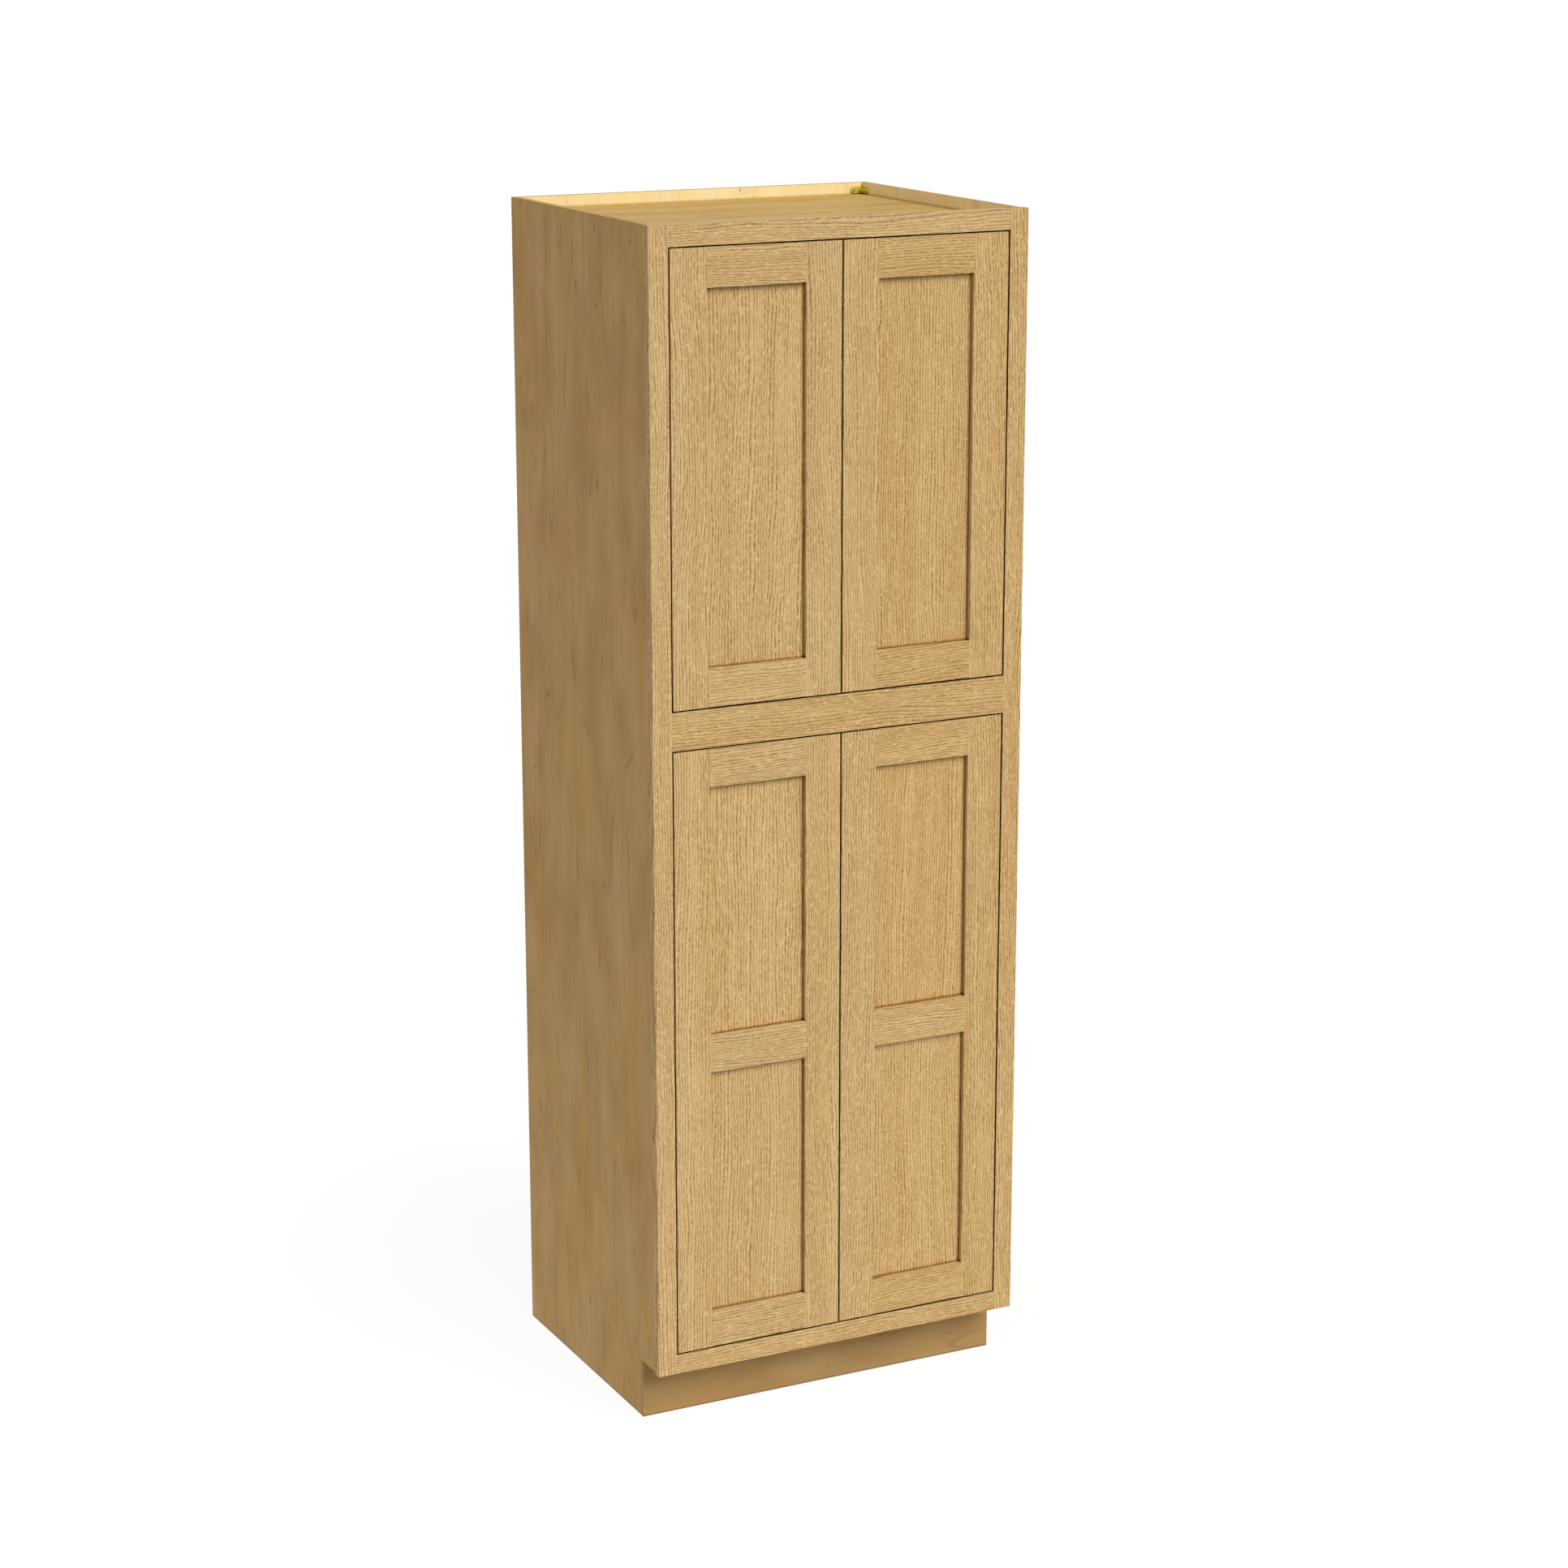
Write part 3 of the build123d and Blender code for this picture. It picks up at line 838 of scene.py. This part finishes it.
cabinet_screws = []
for hand, side in (("left", -1), ("right", 1)):
    low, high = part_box(f"{hand}_corner_brace")
    middle_z = (low.z + high.z) / 2
    end_round = (high.z - low.z) / 2
    inner_x = low.x + end_round if side > 0 else high.x - end_round
    plate_x = high.x - brace_plate if side > 0 else low.x + brace_plate
    cabinet_screws.append(((inner_x, high.y - brace_plate, middle_z), (0, -1, 0)))
    cabinet_screws.append(((plate_x, low.y + end_round, middle_z), (-side, 0, 0)))
for level in ("lower", "upper"):
    low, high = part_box(f"{level}_magnetic_catch")
    for x in (low.x + catch_screw_inset, high.x - catch_screw_inset):
        cabinet_screws.append(((x, (low.y + high.y) / 2, high.z), (0, 0, 1)))
keep(run_tree(point_cloud("cabinet_screws", cabinet_screws), screw_tree, small_screw), "cabinet")

doors = [f"{level}_{hand}_door" for level in ("lower", "upper") for hand in ("left", "right")]
for door in doors:
    low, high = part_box(f"{door}_strike_plate")
    middle = ((low.x + high.x) / 2, high.y, (low.z + high.z) / 2)
    strike_screw = point_cloud(f"{door}_strike_screw", [(middle, (0, 1, 0))])
    keep(run_tree(strike_screw, screw_tree, sunk_screw), door)

# %% [markdown]
# ### Staples
# The back is stapled into the rabbets of the sides and into the fixed boards, which is plain to see from
# behind. A staple's crown is a short wire, so a line with a round profile makes it; the legs are in the
# wood and aren't made.

# %% The staple tree
wire_sides = 8
staple_tree, given = start_tree("staples", {"Crown": "NodeSocketFloat", "Wire": "NodeSocketFloat"})
half_crown = math_node(staple_tree, "MULTIPLY", given.outputs["Crown"], 0.5)
other_half = math_node(staple_tree, "MULTIPLY", half_crown, -1.0)
crown_start = add_node(staple_tree, "ShaderNodeCombineXYZ", {0: other_half})
crown_end = add_node(staple_tree, "ShaderNodeCombineXYZ", {0: half_crown})
crown_line = {"Start": crown_start.outputs[0], "End": crown_end.outputs[0]}
line = add_node(staple_tree, "GeometryNodeCurvePrimitiveLine", crown_line)
wire_radius = math_node(staple_tree, "MULTIPLY", given.outputs["Wire"], 0.5)
round_wire = {"Resolution": wire_sides, "Radius": wire_radius}
ring = add_node(staple_tree, "GeometryNodeCurvePrimitiveCircle", round_wire)
wire_inputs = {"Curve": line.outputs[0], "Profile Curve": ring.outputs[0], "Fill Caps": True}
wire = add_node(staple_tree, "GeometryNodeCurveToMesh", wire_inputs)
stand_on_points(staple_tree, given, wire.outputs[0])
print("staple tree:", len(staple_tree.nodes), "nodes")

# %% [markdown]
# A row of staples runs up each edge of the back, and one runs across at each fixed board. The wire is
# driven a little into the wood. All of them are one mesh, since none moves.

# %% Staples in place
staple_pitch = 0.15
staple_edge = 0.0032
row_inset = 0.04
staple_crown = 0.0115
staple_wire = 0.0011
staple_sunk = 0.4
back_low, back_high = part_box("back_panel")
staple_y = back_high.y - staple_wire * staple_sunk
staple_places = []
row_count = int((back_high.z - back_low.z) / staple_pitch)
for i in range(row_count):
    z = back_low.z + staple_pitch * (i + 0.5)
    for x in (back_low.x + staple_edge, back_high.x - staple_edge):
        staple_places.append((x, staple_y, z))
for board in ("bottom_panel", "fixed_shelf", "top_panel"):
    low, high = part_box(board)
    for i in range(1, int((back_high.x - back_low.x) / staple_pitch) + 1):
        x = back_low.x + staple_pitch * (i - 0.5) + row_inset
        staple_places.append((x, staple_y, (low.z + high.z) / 2))
staples = point_cloud("back_staples", [(place, (0, 1, 0)) for place in staple_places])
staple_sizes = {"Crown": staple_crown, "Wire": staple_wire, "Material": zinc_steel}
keep(run_tree(staples, staple_tree, staple_sizes), "cabinet")

# %% [markdown]
# ### Shelf pin bores
# Above and below every shelf pin the side panels have spare bores, 32 mm apart, so that a shelf can move
# up or down. Painted dots would look flat from the side, so the bores are cut into a copy of each panel:
# a line of points is stood on each pin's place, a drill on each point, and one boolean takes them all out
# of the board.

# %% The bore tree
bore_tree, given = start_tree(
    "pin bores",
    {
        "Board": "NodeSocketObject",
        "Bore Diameter": "NodeSocketFloat",
        "Bore Depth": "NodeSocketFloat",
        "Pitch": "NodeSocketFloat",
        "Spare Each Way": "NodeSocketInt",
    },
)
bore_radius = math_node(bore_tree, "MULTIPLY", given.outputs["Bore Diameter"], 0.5)
line_up = add_node(bore_tree, "ShaderNodeCombineXYZ", {2: given.outputs["Pitch"]}).outputs[0]
down_pitch = math_node(bore_tree, "MULTIPLY", given.outputs["Pitch"], -1.0)
line_down = add_node(bore_tree, "ShaderNodeCombineXYZ", {2: down_pitch}).outputs[0]
spare_rows = add_node(bore_tree, "GeometryNodeJoinGeometry")
for step in (line_up, line_down):
    row_inputs = {"Count": given.outputs["Spare Each Way"], "Start Location": step, "Offset": step}
    row = add_node(bore_tree, "GeometryNodeMeshLine", row_inputs)
    bore_tree.links.new(row.outputs[0], spare_rows.inputs[0])
row_places = {"Points": given.outputs["Geometry"], "Instance": spare_rows.outputs[0]}
rows = add_node(bore_tree, "GeometryNodeInstanceOnPoints", row_places)
bore_points = add_node(bore_tree, "GeometryNodeRealizeInstances", {0: rows.outputs[0]}).outputs[0]
drill_length = math_node(bore_tree, "MULTIPLY", given.outputs["Bore Depth"], 2.0)
drill_inputs = {"Vertices": round_sides, "Radius": bore_radius, "Depth": drill_length}
drill = add_node(bore_tree, "GeometryNodeMeshCylinder", drill_inputs).outputs["Mesh"]
laid_over = {"Geometry": drill, "Rotation": (0.0, math.radians(90), 0.0)}
laid_drill = add_node(bore_tree, "GeometryNodeTransform", laid_over).outputs[0]
drill_places = {"Points": bore_points, "Instance": laid_drill}
drills = add_node(bore_tree, "GeometryNodeInstanceOnPoints", drill_places)
all_drills = add_node(bore_tree, "GeometryNodeRealizeInstances", {0: drills.outputs[0]}).outputs[0]
board = add_node(bore_tree, "GeometryNodeObjectInfo", {"Object": given.outputs["Board"]}).outputs["Geometry"]
bored = add_node(bore_tree, "GeometryNodeMeshBoolean", {0: board}, **cut_way)
bore_tree.links.new(all_drills, bored.inputs["Mesh 2"])
end_tree(bore_tree, given, bored.outputs["Mesh"])
print("bore tree:", len(bore_tree.nodes), "nodes")

# %% [markdown]
# The pins' places are read from the pins' own mesh: its corners fall into one cluster for each pin, and
# the middle of a cluster is the pin's middle. The panel is copied and its loose triangles are joined
# first, because a boolean needs a closed board.

# %% Bored side panels
pin_diameter = 0.005
bore_depth = 0.010
bore_pitch = 0.032
spare_each_way = 3
pin_cluster = 0.1
same_corner = 1e-6


def pin_centres(side):
    """The middle of each shelf pin on one side, where it leaves the panel, read from the pins' own mesh."""
    mesh = nodes["shelf_pins"].data
    found = {}
    for vertex in mesh.vertices:
        if vertex.co.x * side > 0:
            key = (round(vertex.co.y / pin_cluster), round(vertex.co.z / pin_cluster))
            found.setdefault(key, []).append(vertex.co)
    panel_low, panel_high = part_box("right_side_panel" if side > 0 else "left_side_panel")
    inner_x = panel_low.x if side > 0 else panel_high.x
    spots = []
    for group in found.values():
        y = (min(co.y for co in group) + max(co.y for co in group)) / 2
        z = (min(co.z for co in group) + max(co.z for co in group)) / 2
        spots.append(((inner_x, y, z), (-side, 0, 0)))
    return spots


def merged_copy(name):
    """A copy of a board with its loose triangles joined, to cut into."""
    copy = nodes[name].data.copy()
    shape = bmesh.new()
    shape.from_mesh(copy)
    bmesh.ops.remove_doubles(shape, verts=shape.verts, dist=same_corner)
    shape.to_mesh(copy)
    shape.free()
    return bpy.data.objects.new(f"{name}_uncut", copy)


for hand, side in (("left", -1), ("right", 1)):
    name = f"{hand}_side_panel"
    uncut = merged_copy(name)
    bpy.context.scene.collection.objects.link(uncut)
    centres = pin_centres(side)
    sizes = {
        "Board": uncut,
        "Bore Diameter": pin_diameter,
        "Bore Depth": bore_depth,
        "Pitch": bore_pitch,
        "Spare Each Way": spare_each_way,
        "Material": nodes[name].data.materials[0],
    }
    piece = run_tree(point_cloud(f"{name}_bored", centres), bore_tree, sizes)
    bpy.data.objects.remove(uncut)
    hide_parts(name)
    keep(piece, "cabinet")
    print(name, "pins:", len(centres))
